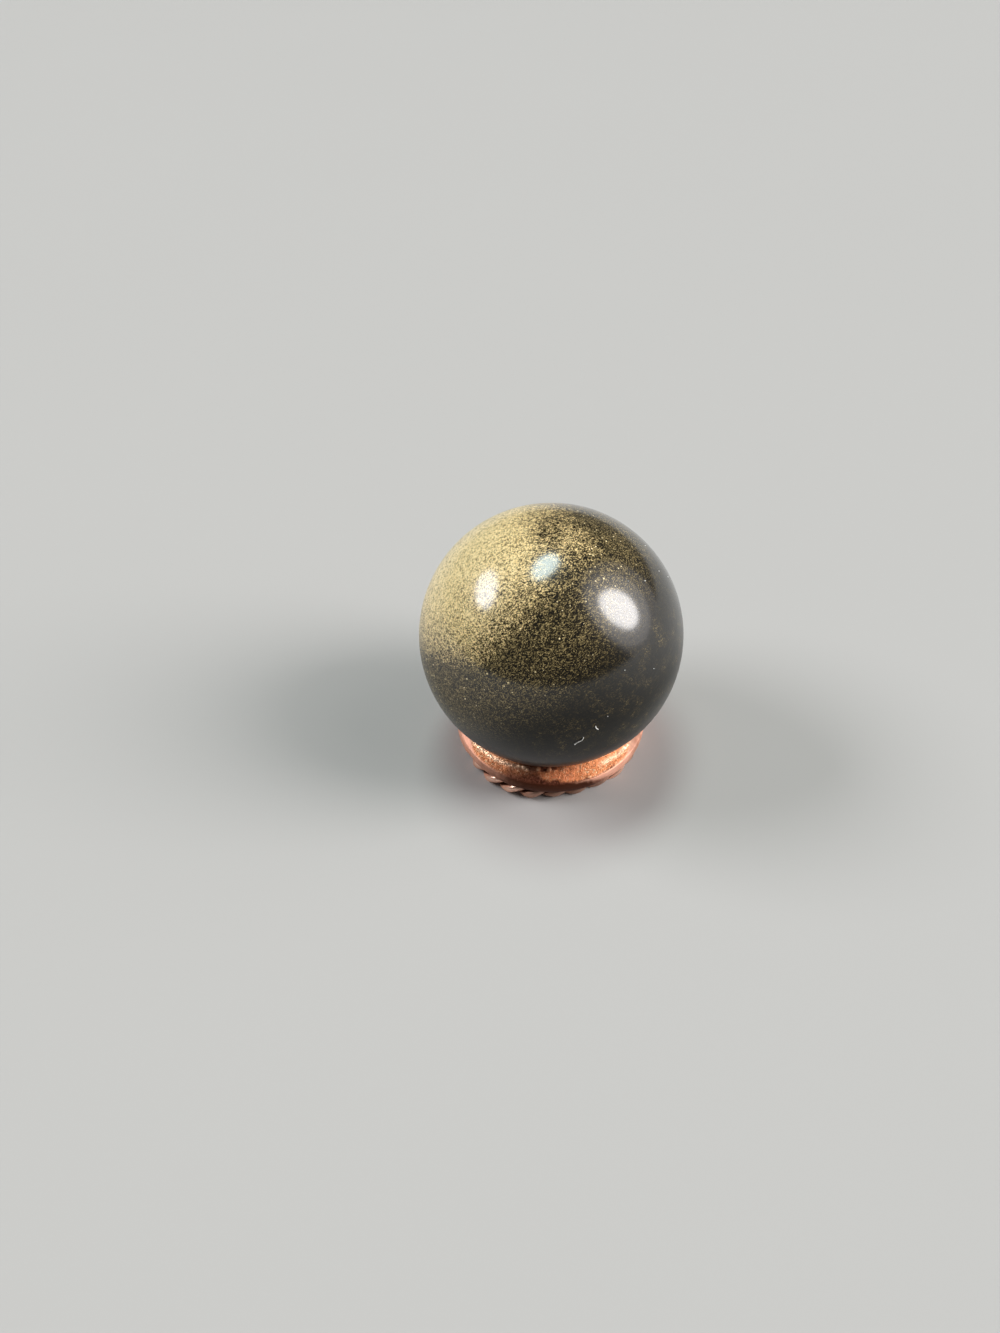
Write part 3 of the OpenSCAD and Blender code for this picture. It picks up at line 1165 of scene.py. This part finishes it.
def build_world(studio):
    """An even, dim room."""
    world = bpy.data.worlds.new("room")
    bpy.context.scene.world = world
    world.use_nodes = True
    background = world.node_tree.nodes["Background"]
    background.inputs["Color"].default_value = (*ROOM_COLOUR, 1)
    background.inputs["Strength"].default_value = studio.surround


SENSOR_SIDE = 36
NEAREST_SEEN = 1 * MM
FARTHEST_SEEN = 10


def build_camera(studio):
    """The camera, looking down at the sphere."""
    data = bpy.data.cameras.new("camera")
    data.sensor_width = SENSOR_SIDE
    data.lens = studio.lens
    data.clip_start = NEAREST_SEEN
    data.clip_end = FARTHEST_SEEN
    camera = bpy.data.objects.new("camera", data)
    tilt = Matrix.Rotation(math.pi / 2 - studio.pitch, 4, "X")
    lean = Matrix.Rotation(-studio.roll, 4, "Z")
    camera.matrix_world = Matrix.Translation(studio.eye) @ tilt @ lean
    bpy.context.scene.collection.objects.link(camera)
    bpy.context.scene.camera = camera


# Half the floor's side in metres, and how far it lies under the ring's flats
FLOOR_HALF = 2.0
FLOOR_DROP = 0.005 * MM


def build_floor(studio):
    """The floor that the ring stands on."""
    corners = [(-1, -1), (1, -1), (1, 1), (-1, 1)]
    points = [(x * FLOOR_HALF, y * FLOOR_HALF, -FLOOR_DROP) for x, y in corners]
    floor = make_mesh("floor", points, [(0, 1, 2, 3)], floor_material(studio), smooth=False)


# ---------------------------------------------------------------- operators and panel


class SPHERE_OT_stone(bpy.types.Operator):
    """Build the polished sphere"""

    bl_idname = "sphere.stone"
    bl_label = "Polished Sphere"

    def execute(self, context):
        build_stone(context.scene.sphere_stone)
        return {"FINISHED"}


class SPHERE_OT_lint(bpy.types.Operator):
    """Build the lint fibres and the dust on the sphere"""

    bl_idname = "sphere.lint"
    bl_label = "Lint and Dust"

    def execute(self, context):
        material = lint_material()
        build_lint(material)
        build_dust(material)
        return {"FINISHED"}


class SPHERE_OT_band(bpy.types.Operator):
    """Build the ring's copper band"""

    bl_idname = "sphere.band"
    bl_label = "Copper Band"

    def execute(self, context):
        build_band(context.scene.sphere_band)
        return {"FINISHED"}


class SPHERE_OT_foot(bpy.types.Operator):
    """Build the two twisted wires of the ring's foot"""

    bl_idname = "sphere.foot"
    bl_label = "Twisted Foot"

    def execute(self, context):
        foot = context.scene.sphere_foot
        material = wire_material(foot, context.scene.sphere_band)
        build_wire("foot_wire_1", "rope_strand_1", foot.phase, foot, material)
        build_wire("foot_wire_2", "rope_strand_2", foot.phase + math.pi, foot, material)
        return {"FINISHED"}


class SPHERE_OT_studio(bpy.types.Operator):
    """Build the floor, the lamps, the room and the camera"""

    bl_idname = "sphere.studio"
    bl_label = "Studio"

    def execute(self, context):
        studio = context.scene.sphere_studio
        context.scene.view_settings.view_transform = "Standard"
        build_camera(studio)
        build_world(studio)
        build_floor(studio)
        for name, (toward, along, length, width, radiance, colour) in LAMPS.items():
            build_lamp(name, studio.lamp_distance, toward, along, length, width, radiance, colour)
        return {"FINISHED"}


class SPHERE_PT_panel(bpy.types.Panel):
    """Lists the pieces and their settings"""

    bl_label = "Stone Sphere"
    bl_idname = "SPHERE_PT_panel"
    bl_space_type = "VIEW_3D"
    bl_region_type = "UI"
    bl_category = "Sphere"

    def draw(self, context):
        groups = {
            "sphere_stone": ("sphere.stone", "sphere.lint"),
            "sphere_band": ("sphere.band",),
            "sphere_foot": ("sphere.foot",),
            "sphere_studio": ("sphere.studio",),
        }
        for owner, operators in groups.items():
            box = self.layout.box()
            settings = getattr(context.scene, owner)
            for name in settings.bl_rna.properties.keys():
                if name not in ("rna_type", "name"):
                    box.prop(settings, name)
            for operator in operators:
                box.operator(operator)


SETTINGS = {
    "sphere_stone": StoneSettings,
    "sphere_band": BandSettings,
    "sphere_foot": FootSettings,
    "sphere_studio": StudioSettings,
}
OPERATORS = (SPHERE_OT_studio, SPHERE_OT_stone, SPHERE_OT_lint, SPHERE_OT_band, SPHERE_OT_foot)


def register():
    """Registers the settings, the operators and the panel."""
    for owner, group in SETTINGS.items():
        bpy.utils.register_class(group)
        setattr(bpy.types.Scene, owner, bpy.props.PointerProperty(type=group))
    for cls in (*OPERATORS, SPHERE_PT_panel):
        bpy.utils.register_class(cls)


def unregister():
    """Takes away what register added."""
    for cls in (SPHERE_PT_panel, *reversed(OPERATORS)):
        bpy.utils.unregister_class(cls)
    for owner, group in reversed(SETTINGS.items()):
        delattr(bpy.types.Scene, owner)
        bpy.utils.unregister_class(group)


def main():
    """Builds everything."""
    register()
    bpy.ops.sphere.studio()
    bpy.ops.sphere.stone()
    bpy.ops.sphere.lint()
    bpy.ops.sphere.band()
    bpy.ops.sphere.foot()


if __name__ == "__main__":
    main()
